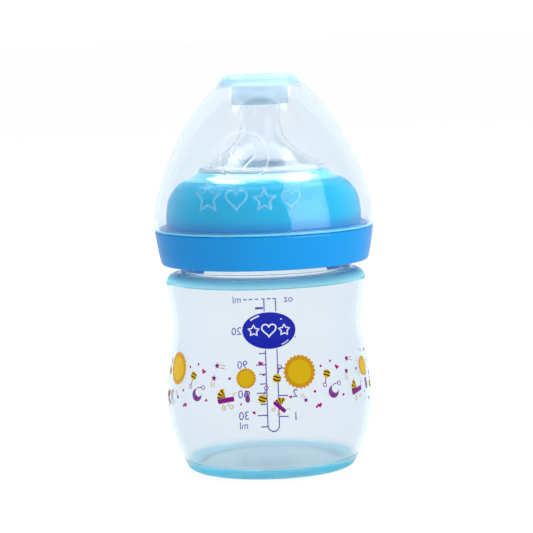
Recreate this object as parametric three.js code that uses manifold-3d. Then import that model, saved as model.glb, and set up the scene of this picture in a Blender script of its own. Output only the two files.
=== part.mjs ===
// Baby bottle with a screw collar, a silicone teat and a dome cap.
// Millimetres, +Z up. The origin is the centre of the base on the surface that the bottle stands on.
// Every piece is a body of revolution about Z, and the neck and the collar carry matching helical threads.

import * as THREE from 'three';
import { mergeVertices } from 'three/addons/utils/BufferGeometryUtils.js';
import Module from 'manifold-3d';

const wasm = await Module();
wasm.setup();

// ---------------------------------------------------------------- driving dimensions

const AROUND = 40; // facets round a body of revolution
const GAP = 0.3; // rest gap between two pieces that touch

const BOTTLE_WALL = 1.6;
const BULGE_R = 34.2; // widest part of the bottle
const WAIST_R = 31.3;
const SHOULDER_R = 33.2;
const FOOT_R = 26.3; // outer edge of the ring that the bottle stands on
const NECK_R = 28.4; // outside of the neck wall
const NECK_WALL = 1.7;
const NECK_BASE_Z = 66.9;
const LIP_Z = 88;

const LEAD = 4.2; // rise of the threads in one turn
const THREAD_TURNS = 1.25;
const THREAD_START_Z = 72.6; // middle of the neck thread's lower end
const NECK_THREAD_R = 29.9; // crest of the neck's thread
const COLLAR_THREAD_R = 28.75; // crest of the collar's thread
const THREAD_ROOT_W = 2;
const THREAD_CREST_W = 1;

const SKIRT_BOTTOM_Z = 68.9;
const LEDGE_Z = 80; // the cap's rim stands on the collar here
const LEDGE_R = 36.25;
const SEAT_RING_R = 34.4; // low ring that centres the cap's rim
const SEAT_RING_H = 1.4;
const DOME_R = 32.3; // outside of the collar's dome
const SLEEVE_R = 30.35; // inside of the collar's threaded sleeve
const RIM_R = 25.5; // crisp edge at the top of the collar's dome
const RIM_Z = 96.4;
const OPENING_R = 21.1; // hole in the collar for the teat
const OPENING_TOP_Z = 99.2;

const FLANGE_R = 28; // teat flange, clamped on the bottle's lip
const FLANGE_H = 1.9;
const TEAT_NECK_R = 6.4;
const TEAT_TIP_R = 7.7;
const TEAT_TOP_Z = 126.7;
const TEAT_WALL = 1.5;

const CAP_R = 36.5;
const CAP_WALL = 1.3;
const CAP_TOP_Z = 131.4;
const CAP_UNDERSIDE_Z = 127.7;
const CAP_TOP_R = 8; // edge of the flat top
const PLUG_R = 9.4; // sleeve inside the cap, round the teat's tip
const PLUG_BORE_R = 8.25;
const PLUG_BOTTOM_Z = 120.9;

// ---------------------------------------------------------------- outlines

// A smooth line of [radius, height] points through the knots, with perSpan steps between two knots.
function smooth(knots, perSpan) {
  const curve = new THREE.SplineCurve(knots.map(([r, z]) => new THREE.Vector2(r, z)));
  return curve.getPoints((knots.length - 1) * perSpan).map((p) => [p.x, p.y]);
}

// The same line moved by distance to its left, seen in the direction of travel.
function offsetLeft(line, distance) {
  return line.map(([r, z], i) => {
    const [r0, z0] = line[Math.max(i - 1, 0)];
    const [r1, z1] = line[Math.min(i + 1, line.length - 1)];
    const length = Math.hypot(r1 - r0, z1 - z0);
    return [r - (distance * (z1 - z0)) / length, z + (distance * (r1 - r0)) / length];
  });
}

// Turns an outline round Z. It runs up the outside and down the inside, so that the faces point out.
function lathe(outline) {
  const geometry = new THREE.LatheGeometry(outline.map(([r, z]) => new THREE.Vector2(r, z)), AROUND);
  geometry.rotateX(Math.PI / 2);
  return geometry;
}

function closedLathe(outline) {
  return lathe([...outline, outline[0]]);
}

// ---------------------------------------------------------------- joining and cutting

function toManifold(geometry) {
  const bare = new THREE.BufferGeometry();
  bare.setAttribute('position', geometry.getAttribute('position').clone());
  bare.setIndex(geometry.getIndex());
  const merged = mergeVertices(bare, 1e-4);
  const index = merged.getIndex().array;
  const solid = [];
  for (let i = 0; i < index.length; i += 3) {
    const [a, b, c] = [index[i], index[i + 1], index[i + 2]];
    if (a !== b && b !== c && c !== a) solid.push(a, b, c);
  }
  return new wasm.Manifold(new wasm.Mesh({
    numProp: 3,
    vertProperties: new Float32Array(merged.getAttribute('position').array),
    triVerts: new Uint32Array(solid),
  }));
}

function fromManifold(manifold) {
  const mesh = manifold.getMesh();
  const geometry = new THREE.BufferGeometry();
  geometry.setAttribute('position', new THREE.BufferAttribute(mesh.vertProperties, 3));
  geometry.setIndex(new THREE.BufferAttribute(mesh.triVerts, 1));
  return geometry;
}

function join(first, second) {
  return fromManifold(toManifold(first).add(toManifold(second)));
}

// ---------------------------------------------------------------- threads

// A right-hand helical ridge of trapezoid section. rootR lies inside the wall that carries it, and
// the crest sinks back to wallR over the first and last tenth of a turn.
function threadRidge({ rootR, wallR, crestR, startZ, turns }) {
  const runOut = AROUND / 10;
  const steps = Math.round(turns * AROUND);
  const positions = [];
  for (let i = 0; i <= steps; i += 1) {
    const angle = (2 * Math.PI * i) / AROUND;
    const middle = startZ + (LEAD * i) / AROUND;
    const raised = Math.min(1, i / runOut, (steps - i) / runOut);
    const crest = wallR + (crestR - wallR) * raised;
    const section = [
      [rootR, -THREAD_ROOT_W / 2],
      [crest, -THREAD_CREST_W / 2],
      [crest, THREAD_CREST_W / 2],
      [rootR, THREAD_ROOT_W / 2],
    ];
    for (const [r, rise] of section) {
      positions.push(r * Math.cos(angle), r * Math.sin(angle), middle + rise);
    }
  }
  const corners = 4;
  const outward = crestR > rootR;
  const index = [];
  const face = (a, b, c) => (outward ? index.push(a, b, c) : index.push(a, c, b));
  for (let i = 0; i < steps; i += 1) {
    for (let j = 0; j < corners; j += 1) {
      const a = i * corners + j;
      const b = i * corners + ((j + 1) % corners);
      face(a, a + corners, b + corners);
      face(a, b + corners, b);
    }
  }
  const last = steps * corners;
  face(0, 1, 2);
  face(0, 2, 3);
  face(last, last + 2, last + 1);
  face(last, last + 3, last + 2);
  const geometry = new THREE.BufferGeometry();
  geometry.setAttribute('position', new THREE.Float32BufferAttribute(positions, 3));
  geometry.setIndex(index);
  return geometry;
}

// ---------------------------------------------------------------- pieces

function bottleBody() {
  const side = smooth([
    [FOOT_R, 0],
    [28, 1.3],
    [30.3, 6.4],
    [33, 14.6],
    [BULGE_R, 24.4],
    [33, 35.4],
    [WAIST_R, 47],
    [32.1, 56],
    [SHOULDER_R, 62.9],
  ], 2);
  const shoulder = smooth([
    [SHOULDER_R, 62.9],
    [32.6, 64.5],
    [31, 65.6],
    [29.3, 65.9],
    [NECK_R, NECK_BASE_Z],
  ], 1).slice(1);
  const outside = [...side, ...shoulder];
  const insideNeckR = NECK_R - NECK_WALL;
  const innerFloorCorner = 6;
  const insideWall = offsetLeft(outside, BOTTLE_WALL)
    .filter(([r, z]) => z > innerFloorCorner && r > insideNeckR + 0.2)
    .reverse();
  const standingRing = [[0, 1.2], [19, 1.2], [23, 0.45], [24.3, 0]];
  const lip = [
    [NECK_R, LIP_Z - 0.4],
    [NECK_R - 0.4, LIP_Z],
    [insideNeckR + 0.4, LIP_Z],
    [insideNeckR, LIP_Z - 0.4],
    [insideNeckR, NECK_BASE_Z - 0.6],
  ];
  const floor = [[27.6, 4.4], [26.2, 3.2], [23.6, 2.7], [18, 3.5], [0, 3.7]];
  const body = lathe([...standingRing, ...outside, ...lip, ...insideWall, ...floor]);
  return join(body, threadRidge({
    rootR: NECK_R - 0.5,
    wallR: NECK_R - 0.1,
    crestR: NECK_THREAD_R,
    startZ: THREAD_START_Z,
    turns: THREAD_TURNS,
  }));
}

function screwCollar() {
  const shoulderZ = LIP_Z + GAP + FLANGE_H + GAP; // presses the teat's flange on the lip
  const skirtOutside = smooth([
    [33.9, SKIRT_BOTTOM_Z],
    [34.5, 69.7],
    [35.3, 73.4],
    [LEDGE_R, LEDGE_Z - 0.3],
  ], 2);
  const dome = smooth([
    [DOME_R, LEDGE_Z + SEAT_RING_H],
    [DOME_R, 85.5],
    [31.4, 90.4],
    [29.1, 94],
    [27.4, 95.5],
    [RIM_R, RIM_Z],
  ], 1);
  const bevel = smooth([
    [RIM_R - 0.4, RIM_Z + 0.2],
    [23.4, 97.5],
    [OPENING_R + 0.3, OPENING_TOP_Z],
  ], 1);
  const outline = [
    ...skirtOutside,
    [LEDGE_R - 0.2, LEDGE_Z],
    [SEAT_RING_R, LEDGE_Z],
    [SEAT_RING_R, LEDGE_Z + SEAT_RING_H],
    ...dome,
    ...bevel,
    [OPENING_R, OPENING_TOP_Z],
    [OPENING_R, 97.2],
    [22.6, 95.6],
    [24.6, 93.6],
    [25.2, shoulderZ],
    [28.5, shoulderZ],
    [29.8, 88.4],
    [SLEEVE_R, 85.6],
    [SLEEVE_R, 70],
    [SLEEVE_R + 0.4, 69.6],
    [DOME_R, 69.6],
    [DOME_R, 78], // hollow between the threaded sleeve and the skirt
    [34.2, 78],
    [33.3, 73.4],
    [32.9, 69.9],
    [33.1, SKIRT_BOTTOM_Z],
  ];
  return join(closedLathe(outline), threadRidge({
    rootR: SLEEVE_R + 0.5,
    wallR: SLEEVE_R + 0.1,
    crestR: COLLAR_THREAD_R,
    startZ: THREAD_START_Z - LEAD / 2,
    turns: THREAD_TURNS,
  }));
}

function teat() {
  const flangeBottom = LIP_Z + GAP;
  const flangeTop = flangeBottom + FLANGE_H;
  const skirt = smooth([
    [23.7, flangeTop],
    [22.8, 93.4],
    [20.7, 96.8],
    [20.6, 99.1],
  ], 1);
  const cone = smooth([
    [20.9, 99.9], // bead at the edge of the collar's opening
    [20.2, 100.9],
    [15.8, 103.3],
    [12.6, 105.3],
    [9.9, 107.5],
    [7.8, 110.2],
    [6.7, 113],
    [TEAT_NECK_R, 116],
    [6.6, 119.6],
    [7.4, 121.6],
    [TEAT_TIP_R, 123.2],
    [7.1, 124.9],
    [5.6, 126],
    [3.2, 126.6],
  ], 1);
  const inside = offsetLeft([...skirt, ...cone.slice(1)], TEAT_WALL);
  const hole = 0.5;
  return closedLathe([
    [FLANGE_R, flangeBottom],
    [FLANGE_R, flangeTop],
    ...skirt,
    ...cone,
    [hole, TEAT_TOP_Z],
    [hole, TEAT_TOP_Z - TEAT_WALL],
    ...inside.reverse(),
    [22.2, flangeBottom],
  ]);
}

function domeCap() {
  const rimZ = LEDGE_Z + GAP;
  const outside = smooth([
    [36.3, rimZ],
    [CAP_R, 82],
    [36.1, 87],
    [34.7, 92.4],
    [32.3, 100],
    [29.5, 106.2],
    [26.2, 112.7],
    [22.6, 118.2],
    [18.8, 123],
    [16.2, 125.8],
    [13.6, 128.4],
    [12.3, 129.9],
    [10.6, 131],
    [CAP_TOP_R, CAP_TOP_Z],
  ], 1);
  const insideWall = offsetLeft(outside, CAP_WALL)
    .filter(([, z]) => z > rimZ + 1 && z < CAP_UNDERSIDE_Z - 1)
    .reverse();
  return lathe([
    [0, CAP_UNDERSIDE_Z],
    [PLUG_BORE_R, CAP_UNDERSIDE_Z],
    [PLUG_BORE_R, PLUG_BOTTOM_Z],
    [PLUG_R, PLUG_BOTTOM_Z],
    [PLUG_R, CAP_UNDERSIDE_Z],
    [12, CAP_UNDERSIDE_Z],
    ...insideWall,
    [35.1, rimZ],
    ...outside,
    [0, CAP_TOP_Z],
  ]);
}

// ---------------------------------------------------------------- assembly

function piece(name, geometry, look) {
  const mesh = new THREE.Mesh(geometry, new THREE.MeshStandardMaterial(look));
  mesh.name = name;
  return mesh;
}

const clearPlastic = { color: 0xe8f1fa, roughness: 0.08, metalness: 0, transparent: true, opacity: 0.35 };
const bluePlastic = { color: 0x0a8fe0, roughness: 0.22, metalness: 0 };
const silicone = { color: 0xdfeaf4, roughness: 0.25, metalness: 0, transparent: true, opacity: 0.5 };

const bottle = new THREE.Group();
bottle.add(
  piece('bottle_body', bottleBody(), clearPlastic),
  piece('screw_collar', screwCollar(), bluePlastic),
  piece('teat', teat(), silicone),
  piece('dome_cap', domeCap(), clearPlastic),
);

export default bottle;
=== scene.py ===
"""Looks of a baby bottle: clear body, blue screw collar, silicone teat and clear dome cap.

Every surface of revolution is drawn again from the outline that its CAD node has, with fillets, fine
threads and enough facets to refract cleanly. The printed marks are thin shells on the bottle's wall.
"""
import math

import bpy
import numpy as np
from mathutils import Matrix, Vector


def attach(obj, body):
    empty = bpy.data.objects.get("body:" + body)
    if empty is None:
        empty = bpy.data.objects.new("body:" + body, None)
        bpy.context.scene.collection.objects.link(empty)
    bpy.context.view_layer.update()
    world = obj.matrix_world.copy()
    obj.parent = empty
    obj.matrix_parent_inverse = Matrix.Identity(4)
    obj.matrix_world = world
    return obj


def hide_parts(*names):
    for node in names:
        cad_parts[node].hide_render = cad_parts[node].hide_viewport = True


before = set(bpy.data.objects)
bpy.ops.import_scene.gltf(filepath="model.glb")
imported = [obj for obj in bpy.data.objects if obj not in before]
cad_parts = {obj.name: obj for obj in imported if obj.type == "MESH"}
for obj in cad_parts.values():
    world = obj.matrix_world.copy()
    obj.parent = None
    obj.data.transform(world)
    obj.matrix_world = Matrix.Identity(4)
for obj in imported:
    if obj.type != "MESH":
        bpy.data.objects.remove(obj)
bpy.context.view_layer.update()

MM = 0.001

# ------------------------------------------------------------------ sizes shared with the CAD, in mm

BOTTLE_WALL = 1.6
BULGE_R = 34.2
WAIST_R = 31.3
SHOULDER_R = 33.2
FOOT_R = 26.3
NECK_R = 28.4
NECK_WALL = 1.7
NECK_BASE_Z = 66.9
LIP_Z = 88.0
LEAD = 4.2
THREAD_TURNS = 1.25
THREAD_START_Z = 72.6
NECK_THREAD_R = 29.9
COLLAR_THREAD_R = 28.75
THREAD_ROOT_W = 2.0
THREAD_CREST_W = 1.0
SKIRT_BOTTOM_Z = 68.9
LEDGE_Z = 80.0
LEDGE_R = 36.25
SEAT_RING_R = 34.4
SEAT_RING_H = 1.4
DOME_R = 32.3
SLEEVE_R = 30.35
RIM_R = 25.5
RIM_Z = 96.4
OPENING_R = 21.1
OPENING_TOP_Z = 99.2
GAP = 0.3
FLANGE_R = 28.0
FLANGE_H = 1.9
TEAT_NECK_R = 6.4
TEAT_TIP_R = 7.7
TEAT_TOP_Z = 126.7
TEAT_WALL = 1.5
CAP_R = 36.5
CAP_WALL = 1.3
CAP_TOP_Z = 131.4
CAP_UNDERSIDE_Z = 127.7
CAP_TOP_R = 8.0
PLUG_R = 9.4
PLUG_BORE_R = 8.25
PLUG_BOTTOM_Z = 120.9


# ------------------------------------------------------------------ outlines

def smooth(knots, per_span):
    """A Catmull-Rom line of (radius, height) points through the knots, with per_span steps between two."""
    points = []
    last = len(knots) - 1
    for i in range(last):
        p0 = np.array(knots[max(i - 1, 0)], float)
        p1 = np.array(knots[i], float)
        p2 = np.array(knots[i + 1], float)
        p3 = np.array(knots[min(i + 2, last)], float)
        t1, t2 = (p2 - p0) / 2, (p3 - p1) / 2
        for k in range(per_span):
            t = k / per_span
            points.append(
                (2 * p1 - 2 * p2 + t1 + t2) * t**3
                + (-3 * p1 + 3 * p2 - 2 * t1 - t2) * t**2
                + t1 * t
                + p1
            )
    points.append(np.array(knots[last], float))
    return [tuple(p) for p in points]


def offset_left(line, distance):
    """The line moved sideways, to its left in the direction of travel."""
    moved = []
    for i, (r, z) in enumerate(line):
        r0, z0 = line[max(i - 1, 0)]
        r1, z1 = line[min(i + 1, len(line) - 1)]
        length = math.hypot(r1 - r0, z1 - z0)
        moved.append((r - distance * (z1 - z0) / length, z + distance * (r1 - r0) / length))
    return moved


def corner(before, at, after, radius, steps=5):
    """The corner at a point rounded off, but over less than half of either side.

    A supporting point just beyond each end of the curve keeps the flats flat.
    """
    at = Vector(at)
    arms = [Vector(before) - at, Vector(after) - at]
    reach = [min(radius, arm.length * 0.45) for arm in arms]
    start, end = (at + arm.normalized() * far for arm, far in zip(arms, reach))
    support = [at + arm.normalized() * min(far * 1.35, arm.length * 0.5) for arm, far in zip(arms, reach)]
    curve = [start * (1 - t) ** 2 + at * 2 * t * (1 - t) + end * t**2 for t in np.linspace(0, 1, steps)]
    return [tuple(support[0])] + [tuple(p) for p in curve] + [tuple(support[1])]


def arc(middle, radius, start, end, steps=None):
    """Points on an arc, anticlockwise for a rising angle in degrees."""
    steps = steps or max(8, math.ceil(abs(end - start) / 15))
    turns = np.radians(np.linspace(start, end, steps + 1))
    return [(middle[0] + radius * math.cos(t), middle[1] + radius * math.sin(t)) for t in turns]


def star(radius, points=5, waist=0.45):
    """A star with its tips at the radius and its notches at the waist's share of it."""
    turns = np.radians(90 + np.arange(2 * points) * 180 / points)
    reach = [radius * (1 if i % 2 == 0 else waist) for i in range(2 * points)]
    return [(r * math.cos(t), r * math.sin(t)) for r, t in zip(reach, turns)]


def heart(width, steps=28):
    """The well-known heart curve, which is 32 units wide before scaling."""
    turns = np.linspace(0, 2 * math.pi, steps, endpoint=False)
    scale = width / 32
    xs = [16 * math.sin(-t) ** 3 for t in turns]
    ys = [13 * math.cos(t) - 5 * math.cos(2 * t) - 2 * math.cos(3 * t) - math.cos(4 * t) + 2 for t in turns]
    return [(scale * x, scale * y) for x, y in zip(xs, ys)]


# ------------------------------------------------------------------ meshes

def mesh_object(name, vertices, faces, material, flat=False):
    """A new object in the scene, smooth shaded unless it is flat."""
    mesh = bpy.data.meshes.new(name)
    mesh.from_pydata([tuple(v) for v in vertices], [], faces)
    mesh.validate()
    mesh.polygons.foreach_set("use_smooth", [not flat] * len(mesh.polygons))
    mesh.update()
    obj = bpy.data.objects.new(name, mesh)
    obj.data.materials.append(material)
    bpy.context.collection.objects.link(obj)
    return obj


def even_angles(count):
    """Angles all round, for a mesh of that many columns."""
    return np.linspace(0, 2 * math.pi, count, endpoint=False)


def spin(name, outline, angles, material, shape=None):
    """Turns a closed or axis-to-axis outline round Z. shape(r, z, angle) may move the radius, in mm."""
    outline = np.array(outline, float)
    on_axis = outline[:, 0] < 1e-6
    closed = bool(np.allclose(outline[0], outline[-1]))
    rows = outline[:-1] if closed else outline
    on_axis = on_axis[:-1] if closed else on_axis
    vertices, first, width = [], [], []
    columns = len(angles)
    for (r, z), axis in zip(rows, on_axis):
        first.append(len(vertices))
        if axis:
            width.append(1)
            vertices.append((0, 0, z * MM))
            continue
        width.append(columns)
        radius = np.full(columns, r) if shape is None else shape(r, z, angles)
        around = np.cos(angles) * radius, np.sin(angles) * radius, np.full(columns, z)
        vertices += list(np.column_stack(around) * MM)
    faces = []
    pairs = [(i, i + 1) for i in range(len(rows) - 1)]
    if closed:
        pairs.append((len(rows) - 1, 0))
    for low, high in pairs:
        for j in range(columns):
            k = (j + 1) % columns
            lower = [first[low] + (n if width[low] > 1 else 0) for n in (j, k)]
            upper = [first[high] + (n if width[high] > 1 else 0) for n in (k, j)]
            corners = lower + upper
            ring = [v for n, v in enumerate(corners) if v not in corners[:n]]
            if len(ring) > 2:
                faces.append(ring)
    return mesh_object(name, vertices, faces, material)


def ridge(z, angles, start_z):
    """How far a helical thread stands out at each angle and this height, from 0 to 1."""
    height = np.zeros(len(angles))
    for turn in range(int(THREAD_TURNS) + 1):
        around = angles + 2 * math.pi * turn
        along = around / (2 * math.pi)
        middle = start_z + LEAD * along
        slope = (THREAD_ROOT_W - THREAD_CREST_W) / 2
        rise = np.clip((THREAD_ROOT_W / 2 - np.abs(z - middle)) / slope, 0, 1)
        # Each end tapers off over a tenth of a turn.
        run_out = np.clip(np.minimum(along, THREAD_TURNS - along) * 10, 0, 1)
        height = np.maximum(height, rise * run_out)
    return height * height * (3 - 2 * height)


# ------------------------------------------------------------------ materials

FRONT_LIT = "ShaderNodeBsdfDiffuse"  # scatters the light that falls on the side one sees
BACK_LIT = "ShaderNodeBsdfTranslucent"  # scatters the light that comes from the far side
NOISE_DETAIL = 3.0
PATCHES_PER_METRE = 90  # of slightly different roughness


def nodes_of(material):
    material.use_nodes = True
    return material.node_tree.nodes, material.node_tree.links


def noise(nodes, links, scale):
    """A noise value from 0 to 1 that is fixed to the object."""
    where = nodes.new("ShaderNodeTexCoord")
    texture = nodes.new("ShaderNodeTexNoise")
    texture.inputs["Scale"].default_value = scale
    texture.inputs["Detail"].default_value = NOISE_DETAIL
    links.new(where.outputs["Object"], texture.inputs["Vector"])
    return texture.outputs["Fac"]


def to_range(nodes, links, value, low, high):
    """The middle half of a noise value's range, stretched to run from low to high."""
    spread = nodes.new("ShaderNodeMapRange")
    spread.inputs["From Min"].default_value = 0.25
    spread.inputs["From Max"].default_value = 0.75
    spread.inputs["To Min"].default_value = low
    spread.inputs["To Max"].default_value = high
    links.new(value, spread.inputs["Value"])
    return spread.outputs["Result"]


def height_band(nodes, links, starts, full, ends=None, gone=None):
    """A value that goes from 0 to 1 between two heights in mm, and may go back to 0 between two more."""
    where = nodes.new("ShaderNodeTexCoord")
    parts = nodes.new("ShaderNodeSeparateXYZ")
    links.new(where.outputs["Object"], parts.inputs["Vector"])
    levels = []
    for low, high in ((starts, full), (gone, ends)):
        if low is None:
            continue
        ramp = nodes.new("ShaderNodeMapRange")
        ramp.interpolation_type = "SMOOTHSTEP"
        ramp.inputs["From Min"].default_value = low * MM
        ramp.inputs["From Max"].default_value = high * MM
        links.new(parts.outputs["Z"], ramp.inputs["Value"])
        levels.append(ramp.outputs["Result"])
    if len(levels) == 1:
        return levels[0]
    both = nodes.new("ShaderNodeMath")
    both.operation = "MULTIPLY"
    links.new(levels[0], both.inputs[0])
    links.new(levels[1], both.inputs[1])
    return both.outputs["Value"]


def plastic(name, colour, roughness, grain, wave, **constants):
    """A moulded or printed surface.

    roughness is (lowest, highest). grain and wave are (bumps per metre, height in mm). The constants are
    the shader's sockets by name, with _ for a space.
    """
    material = bpy.data.materials.new(name)
    nodes, links = nodes_of(material)
    shader = nodes["Principled BSDF"]
    shader.inputs["Base Color"].default_value = (*colour, 1)
    for socket, value in constants.items():
        shader.inputs[socket.replace("_", " ")].default_value = value
    patches = noise(nodes, links, PATCHES_PER_METRE)
    links.new(to_range(nodes, links, patches, *roughness), shader.inputs["Roughness"])
    normal = None
    for scale, height in (wave, grain):
        bump = nodes.new("ShaderNodeBump")
        bump.inputs["Strength"].default_value = 1
        bump.inputs["Distance"].default_value = height * MM
        links.new(noise(nodes, links, scale), bump.inputs["Height"])
        if normal:
            links.new(normal, bump.inputs["Normal"])
        normal = bump.outputs["Normal"]
    links.new(normal, shader.inputs["Normal"])
    return material


def tint(material, colour, density):
    """Fills the inside of a clear material with an absorbing dye."""
    nodes, links = nodes_of(material)
    dye = nodes.new("ShaderNodeVolumeAbsorption")
    dye.inputs["Color"].default_value = (*colour, 1)
    dye.inputs["Density"].default_value = density
    links.new(dye.outputs["Volume"], nodes["Material Output"].inputs["Volume"])
    return material


def scattering(material, kind, colour, share, mask=None):
    """Scatters a share of the light, coloured, all over or by a mask value from 0 to 1.

    kind is FRONT_LIT or BACK_LIT.
    """
    nodes, links = nodes_of(material)
    surface = nodes["Material Output"].inputs["Surface"]
    below = surface.links[0].from_socket
    scatter = nodes.new(kind)
    scatter.inputs["Color"].default_value = (*colour, 1)
    mixed = nodes.new("ShaderNodeMixShader")
    mixed.inputs["Fac"].default_value = share
    if mask:
        fade = nodes.new("ShaderNodeMapRange")
        fade.inputs["To Max"].default_value = share
        links.new(mask, fade.inputs["Value"])
        links.new(fade.outputs["Result"], mixed.inputs["Fac"])
    links.new(below, mixed.inputs[1])
    links.new(scatter.outputs["BSDF"], mixed.inputs[2])
    links.new(mixed.outputs["Shader"], surface)
    return material


def translucent(material, colour, share):
    return scattering(material, BACK_LIT, colour, share)


def painted_glow_band(material, kind, colour, share, *heights, within=None, beyond=None):
    """Paints a glow on a thick part of a clear material: a scattering colour in place of the reflections
    and light seen in it.

    The part lies between heights, as in height_band, and within or beyond a radius, all in mm.
    """
    nodes, links = nodes_of(material)
    mask = height_band(nodes, links, *heights)
    if within or beyond:
        where = nodes.new("ShaderNodeTexCoord")
        flat = nodes.new("ShaderNodeVectorMath")
        flat.operation = "MULTIPLY"
        flat.inputs[1].default_value = (1, 1, 0)
        reach = nodes.new("ShaderNodeVectorMath")
        reach.operation = "LENGTH"
        near = nodes.new("ShaderNodeMath")
        near.operation = "LESS_THAN" if within else "GREATER_THAN"
        near.inputs[1].default_value = (within or beyond) * MM
        both = nodes.new("ShaderNodeMath")
        both.operation = "MULTIPLY"
        links.new(where.outputs["Object"], flat.inputs[0])
        links.new(flat.outputs["Vector"], reach.inputs[0])
        links.new(reach.outputs["Value"], near.inputs[0])
        links.new(near.outputs["Value"], both.inputs[0])
        links.new(mask, both.inputs[1])
        mask = both.outputs["Value"]
    return scattering(material, kind, colour, share, mask)


def relief_painted_highlight(material, colour, share):
    """Paints a white highlight on a clear material where its mesh says that it stands in relief, in place
    of the raised lines' reflections.
    """
    nodes, _ = nodes_of(material)
    relief = nodes.new("ShaderNodeAttribute")
    relief.attribute_name = "relief"
    return scattering(material, FRONT_LIT, colour, share, relief.outputs["Fac"])


def collar_painted_light_tones(material, low, high, starts, full):
    """Colours a translucent material from one tone to another between two heights in mm: the collar's own
    blue below, and above it a lighter tone that is painted light on the dome.
    """
    nodes, links = nodes_of(material)
    mixed = nodes.new("ShaderNodeMix")
    mixed.data_type = "RGBA"
    mixed.inputs["A"].default_value = (*low, 1)
    mixed.inputs["B"].default_value = (*high, 1)
    links.new(height_band(nodes, links, starts, full), mixed.inputs["Factor"])
    links.new(mixed.outputs["Result"], nodes["Principled BSDF"].inputs["Base Color"])
    links.new(mixed.outputs["Result"], nodes["Translucent BSDF"].inputs["Color"])


def polished_above(material, starts, full):
    """Gives a translucent material a full gloss coat, and hardly any translucence, above a height in mm."""
    nodes, links = nodes_of(material)
    band = height_band(nodes, links, starts, full)
    coat = nodes["Principled BSDF"].inputs["Coat Weight"]
    share = nodes["Mix Shader"].inputs["Fac"]
    for socket, low, high in ((coat, 0.1, 1), (share, share.default_value, 0.1)):
        fade = nodes.new("ShaderNodeMapRange")
        fade.inputs["To Min"].default_value = low
        fade.inputs["To Max"].default_value = high
        links.new(band, fade.inputs["Value"])
        links.new(fade.outputs["Result"], socket)


CLEAR_IOR = 1.22  # lower than in the real plastics, which keeps the pieces' edges as light as they look
CLEAR_TINT = (0, 0.77, 0.93)
CLEAR_DENSITY = 39
SILICONE_TINT = (0.2, 0.65, 0.93)
SILICONE_DENSITY = 10

# Parts with a painted glow, by the heights in mm at which it starts, is full, ends and is gone.
SHOULDER_PAINTED_GLOW = (62.5, 63.3, 65.7, 66.2)
BASE_PAINTED_GLOW = (5.2, 4.2)
FLOOR_PAINTED_GLOW = (4.4, 3.9)
HEEL_PAINTED_GLOW = (2.8, 2.2)
PLUG_PAINTED_GLOW = (119.5, 120.5, 127.2, 127.8)
CAP_PLATE_PAINTED_GLOW = (126.9, 127.6)
CAP_RIM_PAINTED_GLOW = (81.2, 80.8)
BEAD_PAINTED_GLOW = (97.6, 98.4, 99.9, 101.0)

clear_plastic = tint(
    plastic(
        "clear_plastic", (0.875, 0.872, 0.903), (0.0, 0.02), (900, 0.002), (45, 0.02),
        Transmission_Weight=1, IOR=CLEAR_IOR, Coat_Weight=0.05, Coat_Roughness=0.08, Coat_IOR=1.5,
    ),
    CLEAR_TINT, CLEAR_DENSITY,
)
# Painted glow: a cyan band in place of the collar's blue reflected in the shoulder, and pale and cyan bands
# in place of the light seen in the base, the inner floor and the heel.
painted_glow_band(clear_plastic, FRONT_LIT, (0.34, 0.84, 1.0), 0.72, *SHOULDER_PAINTED_GLOW)
painted_glow_band(clear_plastic, BACK_LIT, (0.8, 0.98, 1.0), 0.2, *BASE_PAINTED_GLOW)
painted_glow_band(clear_plastic, FRONT_LIT, (0.75, 0.92, 1.0), 0.2, *FLOOR_PAINTED_GLOW, within=27.5)
painted_glow_band(clear_plastic, BACK_LIT, (0.25, 0.84, 1.0), 0.5, *HEEL_PAINTED_GLOW, beyond=23.5)

cap_plastic = tint(
    plastic(
        "cap_plastic", (0.947, 0.95, 0.977), (0.0, 0.03), (900, 0.002), (40, 0.03),
        Transmission_Weight=1, IOR=CLEAR_IOR, Coat_Weight=0.15, Coat_Roughness=0.03, Coat_IOR=1.5,
    ),
    CLEAR_TINT, CLEAR_DENSITY,
)
# Painted glow: pale bands in place of the light seen in the plug and the top plate, and a cyan band as a
# painted highlight on the cap's rim.
painted_glow_band(cap_plastic, BACK_LIT, (0.72, 0.9, 1.0), 0.36, *PLUG_PAINTED_GLOW, within=9.8)
painted_glow_band(cap_plastic, FRONT_LIT, (0.6, 0.8, 0.95), 0.3, *CAP_PLATE_PAINTED_GLOW)
painted_glow_band(cap_plastic, FRONT_LIT, (0.3, 0.85, 1.0), 0.35, *CAP_RIM_PAINTED_GLOW)
# The raised motif gets a painted white highlight.
relief_painted_highlight(cap_plastic, (1.0, 1.0, 1.0), 0.17)

# The skirt's tone is the collar's own blue. The dome's tone is a lighter blue: painted light for the light
# that falls on the dome.
SKIRT_TONE = (0.0, 0.43, 0.87)
DOME_PAINTED_LIGHT_TONE = (0.01, 0.75, 1.0)
blue_plastic = translucent(
    plastic(
        "blue_plastic", SKIRT_TONE, (0.12, 0.2), (1500, 0.002), (60, 0.01),
        IOR=1.45, Specular_IOR_Level=0.25, Coat_Roughness=0.05, Coat_IOR=2.4,
    ),
    SKIRT_TONE, 0.5,
)
# Painted light: the collar turns a lighter blue from the ledge up over the dome.
collar_painted_light_tones(blue_plastic, SKIRT_TONE, DOME_PAINTED_LIGHT_TONE, LEDGE_Z - 0.5, LEDGE_Z + 6)
polished_above(blue_plastic, RIM_Z - 0.3, RIM_Z + 0.5)

silicone = tint(
    plastic(
        "silicone", (0.965, 0.972, 0.987), (0.06, 0.14), (1200, 0.004), (70, 0.03),
        Transmission_Weight=1, IOR=CLEAR_IOR, Coat_Weight=0.1, Coat_Roughness=0.12, Coat_IOR=1.45,
    ),
    SILICONE_TINT, SILICONE_DENSITY,
)
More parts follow.
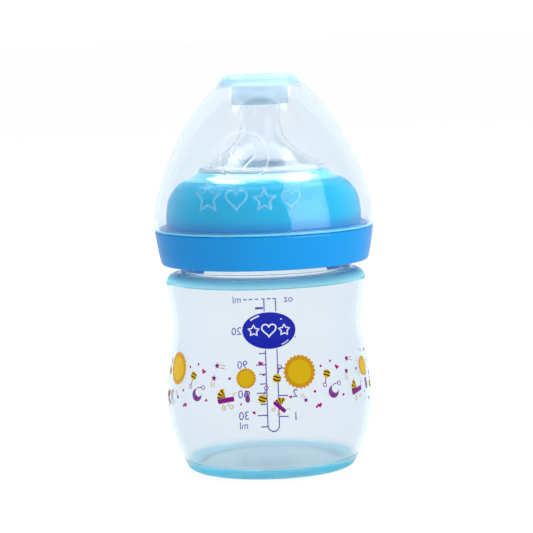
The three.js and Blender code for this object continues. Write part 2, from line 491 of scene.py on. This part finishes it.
# Painted highlight: a pale band on the teat's bead over the collar's opening.
painted_glow_band(silicone, FRONT_LIT, (0.85, 0.93, 1.0), 0.55, *BEAD_PAINTED_GLOW)


def opaque_ink(name, colour, roughness=(0.3, 0.45)):
    """An ink that hides what is behind it."""
    return plastic(name, colour, roughness, (2500, 0.003), (400, 0.004), Specular_IOR_Level=0.2)


def ink(name, colour):
    """An ink so thin that light from behind shows its colour."""
    return translucent(opaque_ink(name, colour), colour, 0.25)


navy_ink = opaque_ink("navy_ink", (0.0, 0.01, 0.42), (0.2, 0.3))
white_ink = opaque_ink("white_ink", (0.85, 0.88, 0.92))
violet_ink = ink("violet_ink", (0.33, 0.34, 0.93))
yellow_ink = ink("yellow_ink", (0.85, 0.58, 0.0))
amber_ink = ink("amber_ink", (0.76, 0.38, 0.0))
magenta_ink = ink("magenta_ink", (0.55, 0.0, 0.25))
purple_ink = ink("purple_ink", (0.32, 0.0, 0.3))
lilac_ink = ink("lilac_ink", (0.27, 0.06, 0.36))
brown_ink = ink("brown_ink", (0.08, 0.01, 0.0))
tan_ink = ink("tan_ink", (0.75, 0.58, 0.33))


# ------------------------------------------------------------------ moulded pieces

AROUND = 192  # facets round the bottle and the collar
side_knots = [
    (FOOT_R, 0), (28, 1.3), (30.3, 6.4), (33, 14.6), (BULGE_R, 24.4), (33, 35.4), (WAIST_R, 47), (32.1, 56),
    (SHOULDER_R, 62.9),
]
shoulder_knots = [(SHOULDER_R, 62.9), (32.6, 64.5), (31, 65.6), (29.3, 65.9), (NECK_R, NECK_BASE_Z)]
bottle_side = smooth(side_knots, 10)


def bottle():
    """A thick base, a waisted side, a shoulder and a threaded neck, hollow down to the floor."""
    inner_neck_r = NECK_R - NECK_WALL
    outside = bottle_side + smooth(shoulder_knots, 6)[1:]
    wall = offset_left(outside, BOTTLE_WALL)
    inside = [(r, z) for r, z in wall if z > 6 and r > inner_neck_r + 0.2][::-1]
    neck = [(NECK_R, z) for z in np.arange(67.2, LIP_Z - 0.5, 0.25)]
    lip = corner(neck[-1], (NECK_R, LIP_Z), (inner_neck_r, LIP_Z), 0.5)
    lip += corner((NECK_R, LIP_Z), (inner_neck_r, LIP_Z), (inner_neck_r, 84), 0.5)
    lip += [(inner_neck_r, z) for z in (80, 74, NECK_BASE_Z - 0.6)]
    floor = smooth([inside[-1], (28.0, 4.5), (27.1, 3.5), (25.6, 3.2), (18, 3.5), (0, 3.7)], 6)[1:]
    base = smooth([(0, 1.2), (19, 1.2), (23, 0.45), (24.3, 0)], 6)

    def with_thread(r, z, angles):
        if abs(r - NECK_R) > 0.01 or not NECK_BASE_Z < z < LIP_Z - 0.6:
            return np.full(len(angles), r)
        return r + (NECK_THREAD_R - NECK_R) * ridge(z, angles, THREAD_START_Z)

    outline = base + outside + neck + lip + inside + floor
    return spin("bottle", outline, even_angles(AROUND), clear_plastic, with_thread)


def collar():
    """A skirt, a ledge with a seat ring for the cap, a dome open at the top and a threaded sleeve."""
    seat_top_z = LEDGE_Z + SEAT_RING_H
    shoulder_z = LIP_Z + GAP + FLANGE_H + GAP
    outline = smooth([(33.9, SKIRT_BOTTOM_Z), (34.5, 69.7), (35.3, 73.4), (LEDGE_R, LEDGE_Z - 0.3)], 6)
    outline += [(LEDGE_R - 0.2, LEDGE_Z), (LEDGE_R - 0.5, LEDGE_Z)]
    outline += [(SEAT_RING_R + 0.3, LEDGE_Z), (SEAT_RING_R, LEDGE_Z + 0.05)]
    outline += corner((SEAT_RING_R, LEDGE_Z), (SEAT_RING_R, seat_top_z), (DOME_R, seat_top_z), 0.3)
    outline += [(DOME_R + 0.3, seat_top_z)]
    dome = [(DOME_R, seat_top_z), (DOME_R, 85.5), (31.4, 90.4), (29.1, 94), (27.4, 95.5), (RIM_R, RIM_Z)]
    outline += smooth(dome, 7)
    outline += smooth([(RIM_R - 0.4, RIM_Z + 0.2), (23.4, 97.5), (OPENING_R + 0.3, OPENING_TOP_Z)], 6)
    outline += [(OPENING_R, OPENING_TOP_Z), (OPENING_R, 98.5), (OPENING_R, 97.2), (22.6, 95.6)]
    outline += [(24.6, 93.6), (25.2, shoulder_z), (26, shoulder_z), (28, shoulder_z), (28.5, shoulder_z)]
    outline += [(29.8, 88.4), (SLEEVE_R, 85.6)] + [(SLEEVE_R, z) for z in np.arange(85.4, 70, -0.25)]
    outline += [(SLEEVE_R + 0.4, 69.6), (DOME_R - 0.2, 69.6), (DOME_R, 69.8), (DOME_R, 77.8)]
    outline += [(DOME_R + 0.2, 78), (34, 78), (34.2, 77.8), (33.3, 73.4), (32.9, 69.9)]
    outline += [(33.1, SKIRT_BOTTOM_Z)]

    def with_thread(r, z, angles):
        if abs(r - SLEEVE_R) > 0.01:
            return np.full(len(angles), r)
        return r - (SLEEVE_R - COLLAR_THREAD_R) * ridge(z, angles, THREAD_START_Z - LEAD / 2)

    return spin("collar", outline + [outline[0]], even_angles(AROUND), blue_plastic, with_thread)


def nipple():
    """A clamped flange, a skirt, a bead over the collar's opening, a cone and a tip with a feeding hole."""
    bottom = LIP_Z + GAP
    top = bottom + FLANGE_H
    flange_bore_r, skirt_r, hole_r = 22.2, 23.7, 0.5
    skirt = smooth([(skirt_r, top), (22.8, 93.4), (20.8, 96.8), (20.9, 98.9)], 6)
    cone_knots = [
        (21.0, 99.7), (20.3, 100.9), (15.8, 103.3), (12.6, 105.3), (9.9, 107.5), (7.8, 110.2), (6.7, 113),
        (TEAT_NECK_R, 116), (6.6, 119.6), (7.4, 121.6), (TEAT_TIP_R, 123.2), (7.1, 124.9), (5.6, 126),
        (3.2, 126.6),
    ]
    cone = smooth(cone_knots, 5)
    inside = offset_left(skirt + cone[1:], TEAT_WALL)[::-1]
    outline = corner((flange_bore_r, bottom), (FLANGE_R, bottom), (FLANGE_R, top), 0.3)
    outline += corner((FLANGE_R, bottom), (FLANGE_R, top), (skirt_r, top), 0.3)
    outline += [(24.2, top)] + skirt + cone
    outline += [(1, TEAT_TOP_Z - 0.02), (hole_r, TEAT_TOP_Z - 0.1), (hole_r, TEAT_TOP_Z - TEAT_WALL)]
    outline += inside + [(flange_bore_r, bottom)]
    return spin("teat", outline + [outline[0]], even_angles(144), silicone)


MOTIF_SIDE = 38  # degrees on either side of the front that hold the motif in relief, in finer facets
FRONT = np.radians(np.arange(-MOTIF_SIDE, MOTIF_SIDE, 0.5))
BEHIND = np.radians(np.arange(MOTIF_SIDE, 360 - MOTIF_SIDE, 2))
CAP_ANGLES = np.concatenate((FRONT, BEHIND)) - math.pi / 2
RELIEF = 0.3  # how far the motif stands out
RELIEF_HALF = 0.45  # half the width of its lines
RELIEF_LOW_Z = 85
RELIEF_HIGH_Z = 120


def shifted(points, by):
    """The points moved by (x, y)."""
    return [(x + by[0], y + by[1]) for x, y in points]


def cap_motif():
    """Closed lines in relief on the front of the cap, as points (x to the right, height) in mm."""
    ring_at = (-6.0, 105.4)
    lines = [arc(ring_at, 8.0, 0, 360), shifted(heart(7.5), ring_at)]
    lines += [shifted(star(4.8), (-18.5, 92.6)), shifted(heart(7), (-8.6, 92))]
    lines += [shifted(star(3.6), (0.4, 91.8)), shifted(heart(6), (9, 91.8))]
    return [np.array(line + line[:1]) for line in lines]


def nearest(points, line):
    """The distance from each point to a line of straight pieces."""
    best = np.full(len(points), np.inf)
    for a, b in zip(line, line[1:]):
        along = b - a
        share = np.clip((points - a) @ along / max(along @ along, 1e-9), 0, 1)
        best = np.minimum(best, np.linalg.norm(points - a - share[:, None] * along, axis=1))
    return best


def cap():
    """A dome with a thick top plate, and under the plate a short tube, the plug, round the teat's tip."""
    rim_z = LEDGE_Z + GAP
    tube_z = 124  # about half way down the plug
    outside_knots = [
        (36.3, rim_z), (CAP_R, 82), (36.1, 87), (34.7, 92.4), (32.3, 100), (29.5, 106.2), (26.2, 112.7),
        (22.6, 118.2), (18.8, 123), (16.2, 125.8), (13.6, 128.4), (12.3, 129.9), (10.6, 131),
        (CAP_TOP_R, CAP_TOP_Z),
    ]
    outside = smooth(outside_knots, 14)
    shell = offset_left(smooth(outside_knots, 6), CAP_WALL)
    inside = [p for p in shell if rim_z + 1 < p[1] < CAP_UNDERSIDE_Z - 1][::-1]
    outline = [(0, CAP_UNDERSIDE_Z), (PLUG_BORE_R - 0.4, CAP_UNDERSIDE_Z)]
    outline += corner((7, CAP_UNDERSIDE_Z), (PLUG_BORE_R, CAP_UNDERSIDE_Z), (PLUG_BORE_R, tube_z), 0.25)
    outline += [(PLUG_BORE_R, tube_z)]
    outline += corner((PLUG_BORE_R, tube_z), (PLUG_BORE_R, PLUG_BOTTOM_Z), (PLUG_R, PLUG_BOTTOM_Z), 0.25)
    outline += corner((PLUG_BORE_R, PLUG_BOTTOM_Z), (PLUG_R, PLUG_BOTTOM_Z), (PLUG_R, tube_z), 0.25)
    outline += [(PLUG_R, tube_z)]
    outline += corner((PLUG_R, tube_z), (PLUG_R, CAP_UNDERSIDE_Z), (12, CAP_UNDERSIDE_Z), 0.4)
    outline += smooth([(11, CAP_UNDERSIDE_Z), (12, CAP_UNDERSIDE_Z), inside[0]], 5)[:-1] + inside
    outline += [(35.1, rim_z + 0.3), (35.3, rim_z), (36.0, rim_z)] + outside
    outline += [(6, CAP_TOP_Z), (0, CAP_TOP_Z)]
    outside_r, outside_z = np.array(outside).T
    motif = cap_motif()

    def with_motif(r, z, angles):
        radius = np.full(len(angles), r)
        if not RELIEF_LOW_Z < z < RELIEF_HIGH_Z or abs(np.interp(z, outside_z, outside_r) - r) > 0.05:
            return radius
        places = np.column_stack(((angles + math.pi / 2) * r, np.full(len(angles), z)))
        gap = np.min([nearest(places, line) for line in motif], axis=0)
        rise = np.clip(1 - gap / RELIEF_HALF, 0, 1)
        return radius + RELIEF * rise * rise * (3 - 2 * rise)

    obj = spin("cap", outline, CAP_ANGLES, cap_plastic, with_motif)
    xs, ys, zs = np.array([v.co for v in obj.data.vertices]).T / MM
    beyond = np.hypot(xs, ys) - np.interp(zs, outside_z, outside_r)
    raised = np.clip(beyond / RELIEF, 0, 1) * (zs > RELIEF_LOW_Z) * (zs < RELIEF_HIGH_Z)
    obj.data.attributes.new("relief", "FLOAT", "POINT").data.foreach_set("value", raised.astype(np.float32))
    return obj


pieces = [
    (bottle(), "bottle", "bottle_body", "clear_plastic"),
    (collar(), "collar", "screw_collar", "blue_plastic"),
    (nipple(), "teat", "teat", "silicone"),
    (cap(), "cap", "dome_cap", "cap_plastic"),
]
for obj, body, node, slot in pieces:
    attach(obj, body)
    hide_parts(node)


# ------------------------------------------------------------------ printed marks on the bottle's wall

SKIN = 0.03  # thickness of one layer of ink
LIFT = 0.02  # clearance between the wall and the first layer
LAYER_GAP = 0.01  # clearance between two layers
STROKE_STEP = 0.8  # longest step along a line, so that it follows the wall
side_r = np.array([p[0] for p in bottle_side])
side_z = np.array([p[1] for p in bottle_side])


def on_wall(place, points, lift):
    """Points (x to the right, y up, in mm) round a place on the wall, seen from outside the bottle.

    A place is (angle from the front, height, tilt, size), in degrees and mm.
    """
    angle, z, tilt, size = place
    points = np.array(points, float) * size
    turn = math.radians(tilt)
    x = points[:, 0] * math.cos(turn) - points[:, 1] * math.sin(turn)
    height = z + points[:, 0] * math.sin(turn) + points[:, 1] * math.cos(turn)
    r = np.interp(height, side_z, side_r)
    around = math.radians(angle) + x / r
    placed = np.column_stack(((r + lift) * np.sin(around), -(r + lift) * np.cos(around), height))
    return [tuple(p) for p in placed * MM]


class Ink:
    """Everything printed in one ink, as thin closed shells that follow the wall."""

    def __init__(self, name, material, slot):
        self.name, self.material, self.slot = name, material, slot
        self.vertices, self.faces = [], []

    def shell(self, place, points, faces, edge, layer):
        """A plate of the given points and faces, closed with a rim along the edge loop."""
        low = LIFT + layer * (SKIN + LAYER_GAP)
        first, count = len(self.vertices), len(points)
        self.vertices += on_wall(place, points, low + SKIN) + on_wall(place, points, low)
        self.faces += [[first + v for v in face] for face in faces]
        self.faces += [[first + count + v for v in reversed(face)] for face in faces]
        for i, a in enumerate(edge):
            b = edge[(i + 1) % len(edge)]
            self.faces.append([first + count + a, first + count + b, first + b, first + a])

    def patch(self, place, outline, layer=0, rings=3, middle=(0, 0)):
        """A filled shape whose outline, anticlockwise, can all be seen from its middle."""
        outline, middle = np.array(outline, float), np.array(middle, float)
        n = len(outline)
        points, faces = [tuple(middle)], []
        for ring in range(1, rings + 1):
            points += [tuple(middle + (p - middle) * ring / rings) for p in outline]
        for i in range(n):
            j = (i + 1) % n
            faces.append([0, 1 + i, 1 + j])
            for ring in range(rings - 1):
                a, b = 1 + ring * n, 1 + (ring + 1) * n
                faces.append([a + i, b + i, b + j, a + j])
        self.shell(place, points, faces, [1 + (rings - 1) * n + i for i in range(n)], layer)

    def ribbon(self, place, right, left, layer=0, across=2):
        """The strip between two lines, the first on the right of the direction of travel."""
        width, n = across + 1, len(right)
        points = []
        for a, b in zip(np.array(right), np.array(left)):
            points += [tuple(a + (b - a) * k / across) for k in range(width)]
        faces = [
            [(i + 1) * width + k, (i + 1) * width + k + 1, i * width + k + 1, i * width + k]
            for i in range(n - 1) for k in range(across)
        ]
        edge = [i * width for i in range(n)] + [(n - 1) * width + k for k in range(1, width)]
        edge += [i * width + across for i in range(n - 2, -1, -1)] + [k for k in range(across - 1, 0, -1)]
        self.shell(place, points, faces, edge, layer)

    def stroke(self, place, path, width, layer=0, closed=False):
        """A line of even width along the path."""
        corners = [np.array(p, float) for p in path]
        if closed:
            corners.append(corners[0])
        fine = [corners[0]]
        for a, b in zip(corners, corners[1:]):
            steps = max(1, math.ceil(np.linalg.norm(b - a) / STROKE_STEP))
            fine += [a + (b - a) * k / steps for k in range(1, steps + 1)]
        right, left = [], []
        for i, p in enumerate(fine):
            before = fine[i - 1] if i else (fine[-2] if closed else p)
            after = fine[i + 1] if i < len(fine) - 1 else (fine[1] if closed else p)
            along = (after - before) / np.linalg.norm(after - before)
            side = np.array((along[1], -along[0])) * width / 2
            right.append(p + side)
            left.append(p - side)
        self.ribbon(place, right, left, layer, across=1)

    def ring(self, place, middle, radius, width, layer=0):
        self.stroke(place, arc(middle, radius, 0, 360)[:-1], width, layer, closed=True)

    def dot(self, place, middle, radius, layer=0):
        self.patch(place, arc(middle, radius, 0, 360)[:-1], layer, rings=2, middle=middle)

    def make(self):
        """The mesh object of all that was printed, which rides on the bottle."""
        obj = mesh_object(self.name, self.vertices, self.faces, self.material, flat=True)
        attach(obj, "bottle")
        return obj


def scalloped(radius, teeth, depth):
    """A circle whose edge waves in and out by depth, a share of its radius."""
    turns = np.linspace(0, 2 * math.pi, teeth * 6, endpoint=False)
    reach = [radius * (1 + depth * math.cos(teeth * t)) for t in turns]
    return [(r * math.cos(t), r * math.sin(t)) for r, t in zip(reach, turns)]


navy = Ink("badge_ground", navy_ink, "navy_ink")
white = Ink("badge_marks", white_ink, "white_ink")
violet = Ink("volume_scale", violet_ink, "violet_ink")
yellow = Ink("print_yellow", yellow_ink, "yellow_ink")
amber = Ink("print_amber", amber_ink, "yellow_ink")
magenta = Ink("print_magenta", magenta_ink, "magenta_ink")
purple = Ink("print_purple", purple_ink, "magenta_ink")
lilac = Ink("print_lilac", lilac_ink, "lilac_ink")
brown = Ink("print_brown", brown_ink, "brown_ink")
tan = Ink("print_tan", tan_ink, "yellow_ink")
inks = [navy, white, violet, yellow, amber, magenta, purple, lilac, brown, tan]


def big_sun(place):
    amber.patch(place, scalloped(5.25, 24, 0.045), rings=5)
    yellow.patch(place, arc((0, 0), 3.9, 0, 360)[:-1], layer=1, rings=4)


def small_sun(place):
    amber.patch(place, scalloped(3.2, 20, 0.05), rings=4)
    yellow.patch(place, arc((0, 0), 2.6, 0, 360)[:-1], layer=1, rings=3)


def rattle(place):
    radius = 1.38
    yellow.dot(place, (0, 0), radius)
    for height, bow in ((-0.5, -0.12), (0.5, -0.12)):
        reach = math.sqrt(radius**2 - height**2) * 0.96
        xs = np.linspace(-reach, reach, 7)
        path = [(x, height + bow * (1 - (x / reach) ** 2)) for x in xs]
        brown.stroke(place, path, 0.42, layer=1)
    purple.stroke(place, [(0, radius), (0, 3.1)], 0.3)
    lilac.ring(place, (0, 3.75), 0.62, 0.26)


def stroller(place):
    basket = [(-2.9, -0.5), (-2.6, -0.8), (2.7, -0.8), (3, -0.5)]
    basket += [(3, 0.5), (2.8, 0.8), (-2.7, 0.8), (-3, 0.5)]
    purple.patch(place, basket, rings=3)
    pivot = (0.1, 0.9)
    hood = [pivot] + arc(pivot, 3.0, 92, 180, 8)
    yellow.patch(place, hood, rings=3, middle=(-0.7, 1.7))
    for start in (108, 140, 168):
        stripe = [pivot] + arc(pivot, 2.95, start, start + 13, 3)
        brown.patch(place, stripe, layer=1, rings=2, middle=np.mean(stripe, axis=0))
    tan.stroke(place, [(2.8, 0.9), (3.2, 1.7), (4.2, 1.9)], 0.3)
    tan.stroke(place, [(-1.6, -1.0), (-0.8, -1.9)], 0.28)
    tan.stroke(place, [(1.0, -1.0), (0.2, -1.9)], 0.28)
    for x in (-1.2, 1.6):
        tan.ring(place, (x, -2.4), 0.55, 0.34)


def bib(place):
    outer = arc((0, 0), 2.1, 95, 375, 20)
    inner = arc((0.75, 0.95), 1.45, 125, 345, 20)
    lilac.ribbon(place, outer, inner, across=2)
    lilac.stroke(place, [(-0.2, 2.1), (0.9, 2.5), (2.0, 2.6)], 0.3)
    lilac.ring(place, (2.6, 2.5), 0.62, 0.26)
    purple.dot(place, (-0.35, -0.95), 0.4, layer=1)


def pacifier(place):
    lilac.ring(place, (0, 1.1), 0.72, 0.42)
    teat = arc((0, -0.2), 0.75, 0, 180, 6) + arc((0, -1.1), 0.75, 180, 360, 6)
    lilac.patch(place, teat, rings=2, middle=(0, -0.6))
    purple.dot(place, (0, 1.1), 0.3, layer=1)


def shooting_star(place, tail):
    """A small star with two lines for a tail, which points along the given angle."""
    purple.patch(place, star(1.15), rings=2)
    way = math.radians(tail)
    along = np.array((math.cos(way), math.sin(way)))
    across = np.array((-math.sin(way), math.cos(way)))
    for side in (-0.45, 0.45):
        start = along * 1.2 + across * side
        tan.stroke(place, [tuple(start), tuple(start + along * 1.7)], 0.34)


def big_heart(place):
    magenta.patch(place, heart(1.75), rings=2)


def small_heart(place):
    magenta.patch(place, heart(1.15), rings=2)


def speck(place):
    magenta.dot(place, (0, 0), 0.42)


# One repeat of the band: what it is, angle from the big sun, height, tilt and size.
BAND = [
    (rattle, -13.2, 34.1, -16, 1),
    (stroller, -12.4, 25.0, -42, 0.82),
    (small_heart, -6.1, 27.9, 10, 1),
    (lambda place: shooting_star(place, 115), 2.3, 26.6, 10, 0.8),
    (big_sun, 0, 35.8, 0, 1),
    (speck, 8, 29.1, 0, 1.1),
    (speck, 8.6, 24.1, 0, 1),
    (big_heart, 10.5, 24.4, 15, 1),
    (speck, 13.2, 37.0, 0, 1),
    (rattle, 16.7, 34.3, 161, 1),
    (speck, 20, 38.2, 0, 1),
    (bib, 20.2, 28.3, 0, 1),
    (big_heart, 24.3, 35.9, -25, 1),
    (small_heart, 27, 26.9, 200, 1),
    (lambda place: shooting_star(place, -90), 31.8, 34.1, -8, 1),
    (lambda place: shooting_star(place, -12), 33.6, 38.1, 5, 1),
    (stroller, 39.6, 27.2, 11, 1),
    (small_heart, 41.8, 34.1, 25, 1),
    (small_heart, 48.6, 26.0, 60, 0.7),
    (small_sun, 51.3, 34.3, 0, 1),
    (pacifier, 52.1, 28.4, 4, 1),
    (small_heart, 55.6, 23.4, 150, 1.1),
    (big_heart, 59.6, 38.9, -15, 0.9),
    (rattle, 60.3, 27.7, -20, 1),
    (speck, 61.4, 35.4, 0, 1),
]
BAND_STARTS = (-64.2, 17.6)  # the angles of the two big suns
BAND_END = 80  # degrees on either side of the front that are printed
for origin in BAND_STARTS:
    for motif, angle, height, tilt, size in BAND:
        if abs(origin + angle) < BAND_END:
            motif((origin + angle, height, tilt, size))


# Badge: an oval with a heart between two stars.
BADGE = (0.85, 49.5, 0, 1)
BADGE_HALF_X = 9.05
BADGE_HALF_Y = 6.35


def oval(inset_x, inset_y, start=0, end=360):
    """The badge's outline or a part of it, drawn in by the insets."""
    half_x, half_y = BADGE_HALF_X - inset_x, BADGE_HALF_Y - inset_y
    turns = np.radians(np.linspace(start, end, 48, endpoint=end - start != 360))
    return [(half_x * math.cos(t), half_y * math.sin(t)) for t in turns]


white.patch(BADGE, oval(0, 0), rings=8)
navy.patch(BADGE, oval(0.4, 0.4), layer=1, rings=8)
for x in (-4.9, 4.9):
    white.stroke(BADGE, shifted(star(1.9, waist=0.5), (x, 0)), 0.4, layer=2, closed=True)
white.stroke(BADGE, heart(4.6), 0.45, layer=2, closed=True)
white.stroke(BADGE, oval(1.4, 1.1, 113, 140), 0.5, layer=2)
white.stroke(BADGE, oval(1.2, 1.0, 300, 322), 0.3, layer=2)
white.dot(BADGE, (4.0, 3.6), 0.25, layer=2)

# Volume scale on the far wall, to be read from behind. x is to the right as seen from there.
FAR = (180, 0, 0, 1)
TUBE_X = -1.1
TUBE_HALF = 2.05
TUBE_TOP_Z = 52.2
TUBE_BOTTOM_Z = 6.0
LINE = 0.4
ML_SIDE = TUBE_X + TUBE_HALF + LINE / 2
OZ_SIDE = TUBE_X - TUBE_HALF - LINE / 2
bend = arc((TUBE_X, TUBE_BOTTOM_Z + TUBE_HALF), TUBE_HALF, 180, 360)
tube = [(TUBE_X - TUBE_HALF, TUBE_TOP_Z)] + bend + [(TUBE_X + TUBE_HALF, TUBE_TOP_Z)]
violet.stroke(FAR, tube, LINE)
for z in (7.6, 15.2, 22.3, 25.8, 33.2, 37.6, 45.4):
    violet.stroke(FAR, [(ML_SIDE, z), (ML_SIDE + 2.2, z)], LINE)
for z in (11.4, 19.1, 29.1, 41.6):
    violet.stroke(FAR, [(ML_SIDE, z), (ML_SIDE + 3.4, z)], LINE)
violet.stroke(FAR, [(ML_SIDE + 0.2, 49.4), (ML_SIDE + 3, 49.4)], 0.8)
for z in (10.9, 18.1, 27.8, 38.6):
    violet.stroke(FAR, [(OZ_SIDE, z), (OZ_SIDE - 3.2, z)], LINE)
for x in (-3.4, -1.4, 0.6, 2.8, 5.0, 7.0):
    violet.stroke(FAR, [(x, TUBE_TOP_Z + 0.3), (x + 1.3, TUBE_TOP_Z + 0.3)], LINE)


SAME_POINT = 0.0001  # mm within which two corners of a letter are one
NUMBER_SIZE = 4.0
UNIT_SIZE = 3.4


def lettering(text, x, z, size):
    """Text in the built-in font, centred at x and z on the far wall, added to the scale's ink."""
    curve = bpy.data.curves.new("lettering", "FONT")
    curve.body = text
    curve.size = 1
    curve.resolution_u = 3
    curve.align_x = "CENTER"
    curve.align_y = "CENTER"
    holder = bpy.data.objects.new("lettering", curve)
    bpy.context.collection.objects.link(holder)
    filled = holder.evaluated_get(bpy.context.evaluated_depsgraph_get())
    flat = bpy.data.meshes.new_from_object(filled)
    merged, index = [], []
    for vertex in flat.vertices:
        p = (x + vertex.co.x * size, z + vertex.co.y * size)
        same = next((i for i, q in enumerate(merged) if math.dist(p, q) < SAME_POINT), None)
        if same is None:
            same = len(merged)
            merged.append(p)
        index.append(same)
    faces = []
    for polygon in flat.polygons:
        face = [index[v] for v in polygon.vertices]
        face = [v for i, v in enumerate(face) if v != face[i - 1]]
        if len(face) > 2:
            loop = [merged[v] for v in face + face[:1]]
            turn = sum(ax * by - bx * ay for (ax, ay), (bx, by) in zip(loop, loop[1:]))
            faces.append(face if turn > 0 else face[::-1])
    first, count = len(violet.vertices), len(merged)
    violet.vertices += on_wall(FAR, merged, LIFT + SKIN) + on_wall(FAR, merged, LIFT)
    violet.faces += [[first + v for v in face] for face in faces]
    violet.faces += [[first + count + v for v in reversed(face)] for face in faces]
    sides = {(a, b) for face in faces for a, b in zip(face, face[1:] + face[:1])}
    for a, b in sorted(sides):
        if (b, a) not in sides:
            violet.faces.append([first + count + a, first + count + b, first + b, first + a])
    bpy.data.objects.remove(holder)
    bpy.data.curves.remove(curve)
    bpy.data.meshes.remove(flat)


for text, x, z in (("30", 9.4, 11.5), ("60", 9.4, 19.0), ("90", 9.4, 29.4), ("120", 10.2, 41.7)):
    lettering(text, x, z, NUMBER_SIZE)
lettering("ml", 9.6, 8.3, UNIT_SIZE)
lettering("ml", 10.7, 52.6, UNIT_SIZE)
lettering("oz", -7.8, 52.4, UNIT_SIZE)
for text, z in (("1", 10.9), ("2", 18.8), ("3", 28.3), ("4", 39.2)):
    lettering(text, -9.2, z, NUMBER_SIZE)

printed = [item.make() for item in inks]


# ------------------------------------------------------------------ camera, light and floor

camera_data = bpy.data.cameras.new("camera")
camera_data.lens = 167.2  # mm, on a sensor of 36 mm
camera_data.sensor_width = 36
camera_data.clip_end = 50
camera_data.dof.use_dof = False
camera = bpy.data.objects.new("camera", camera_data)
bpy.context.collection.objects.link(camera)
camera.location = (0, -0.820, 0.1517)
looks_at = Vector((0.0004, 0, 0.0669))
ROLL = math.radians(-1.92)  # the photograph's tilt
facing = (looks_at - camera.location).to_track_quat("-Z", "Y").to_matrix().to_4x4()
camera.matrix_world = Matrix.Translation(camera.location) @ facing @ Matrix.Rotation(ROLL, 4, "Z")
bpy.context.scene.camera = camera


def softbox(name, location, target, width, height, power):
    """An area light turned to a target, with its size in metres and its power in watts."""
    light = bpy.data.lights.new(name, "AREA")
    light.shape = "RECTANGLE"
    light.size = width
    light.size_y = height
    light.energy = power
    obj = bpy.data.objects.new(name, light)
    bpy.context.collection.objects.link(obj)
    obj.location = location
    obj.rotation_euler = (Vector(target) - Vector(location)).to_track_quat("-Z", "Y").to_euler()
    return obj


softbox_right = softbox("softbox_right", (0.9, -0.75, 0.42), (0, 0, 0.08), 1.0, 0.95, 12)
softbox("softbox_overhead", (0, 0.42, 1.25), (0, 0.05, 0.08), 1.5, 1.3, 30)

# The right softbox shows in the collar and the cap, but not as a hard rectangle in the bottle's clear wall.
unlit = bpy.data.collections.new("unlit_by_softbox_right")
for obj in printed + [bpy.data.objects["bottle"]]:
    unlit.objects.link(obj)
for item in unlit.collection_objects:
    item.light_linking.link_state = "EXCLUDE"
softbox_right.light_linking.receiver_collection = unlit

# The studio round the bottle is white, and brighter behind it than in front of it. The two levels fade
# into each other by the direction's Y, which is -1 in front of the bottle and 1 behind it.
STUDIO_BACK = 1.05
STUDIO_FRONT = 0.75
world = bpy.data.worlds.new("studio")
bpy.context.scene.world = world
world.use_nodes = True
world_nodes, world_links = world.node_tree.nodes, world.node_tree.links
direction = world_nodes.new("ShaderNodeTexCoord")
parts = world_nodes.new("ShaderNodeSeparateXYZ")
dimmer = world_nodes.new("ShaderNodeMapRange")
dimmer.interpolation_type = "SMOOTHSTEP"
dimmer.inputs["From Min"].default_value = -0.2
dimmer.inputs["From Max"].default_value = 0.6
dimmer.inputs["To Min"].default_value = STUDIO_FRONT
dimmer.inputs["To Max"].default_value = STUDIO_BACK
world_links.new(direction.outputs["Generated"], parts.inputs["Vector"])
world_links.new(parts.outputs["Y"], dimmer.inputs["Value"])
world_links.new(dimmer.outputs["Result"], world_nodes["Background"].inputs["Strength"])
world_nodes["Background"].inputs["Color"].default_value = (1, 1, 1, 1)

FLOOR_REACH = 12.0
FLOOR_Z = -0.0002
floor_paper = plastic(
    "floor_paper", (0.1, 0.1, 0.1), (0.7, 0.9), (700, 0.02), (9, 0.05),
    Specular_IOR_Level=0.0, Emission_Color=(1, 1, 1, 1), Emission_Strength=0.9,
)
square = ((-1, -1), (1, -1), (1, 1), (-1, 1))
floor_corners = [(x * FLOOR_REACH, y * FLOOR_REACH, FLOOR_Z) for x, y in square]
floor = mesh_object("floor", floor_corners, [(0, 1, 2, 3)], floor_paper)

LIGHT_BOUNCES = 96  # enough to get through all the clear walls at a slant
scene = bpy.context.scene
scene.view_settings.view_transform = "Standard"
scene.cycles.max_bounces = LIGHT_BOUNCES
scene.cycles.transmission_bounces = LIGHT_BOUNCES
scene.cycles.glossy_bounces = LIGHT_BOUNCES // 2
scene.cycles.diffuse_bounces = 6
scene.cycles.volume_bounces = 0
scene.cycles.caustics_refractive = True
scene.cycles.caustics_reflective = True
